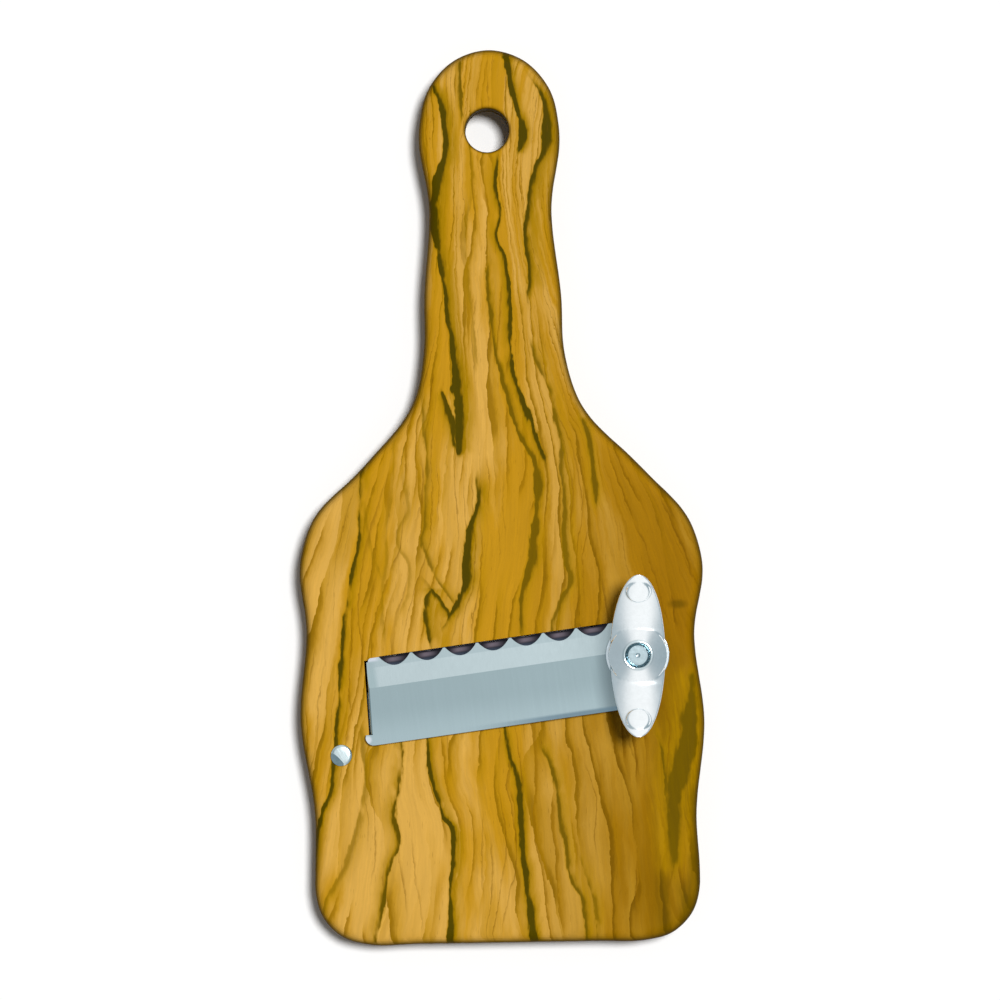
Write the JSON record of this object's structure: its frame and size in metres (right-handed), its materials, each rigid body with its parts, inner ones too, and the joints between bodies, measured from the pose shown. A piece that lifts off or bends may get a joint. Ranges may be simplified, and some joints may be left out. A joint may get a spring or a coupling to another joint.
{
  "type": "truffle slicer",
  "caption": "Wooden board with a hanging handle and a scalloped steel blade over a slanting throat; a wing nut on a bolt sets how thick it slices.",
  "frame": {"origin": "on the board's flat back, under the middle of its outline", "axes": "+Z out of the front, on the blade's side; +Y towards the hanging handle; +X to the right, towards the wing nut"},
  "size_m": [0.101, 0.2234, 0.0287],
  "materials": {
    "board_wood": "oiled, strongly veined hardwood",
    "blade_steel": "fine satin grind",
    "bolt_steel": "plain turned steel",
    "spring_steel": "drawn wire",
    "washer_steel": "bright turned",
    "nut_metal": "bright plated casting, softly polished",
    "pin_metal": "turned face",
    "pin_washer_metal": "plain"
  },
  "bodies": {
    "board": {"board": "board_wood", "adjusting_bolt": "bolt_steel", "lift_spring": "spring_steel", "fixing_pin": "pin_metal", "pin_washer": "pin_washer_metal"},
    "blade": {"blade": "blade_steel"},
    "washer": {"nut_washer": "washer_steel"},
    "wing_nut": {"wing_nut": "nut_metal"}
  },
  "joints": [
    {"name": "washer_lift", "type": "slide", "parent": "board", "child": "washer", "axis": [0, 0, 1], "range_m": [-0.00092, 0.00201], "deforming": ["lift_spring"]},
    {"name": "wing_nut_turn", "type": "hinge", "parent": "washer", "child": "wing_nut", "pos_m": [0.03359, -0.03891, 0.0167], "axis": [0, 0, 1], "range_deg": [-330, 720]},
    {"name": "blade_tilt", "type": "hinge", "parent": "board", "child": "blade", "pos_m": [-0.02992, -0.0615, 0.0123], "axis": [0.068, -0.9977, 0], "range_deg": [-0.82, 1.78]}
  ],
  "couplings": [
    {"joint": "washer_lift", "follows": "wing_nut_turn", "m_per_rad": 0.00015915},
    {"joint": "blade_tilt", "follows": "wing_nut_turn", "ratio": 0.0024523}
  ]
}
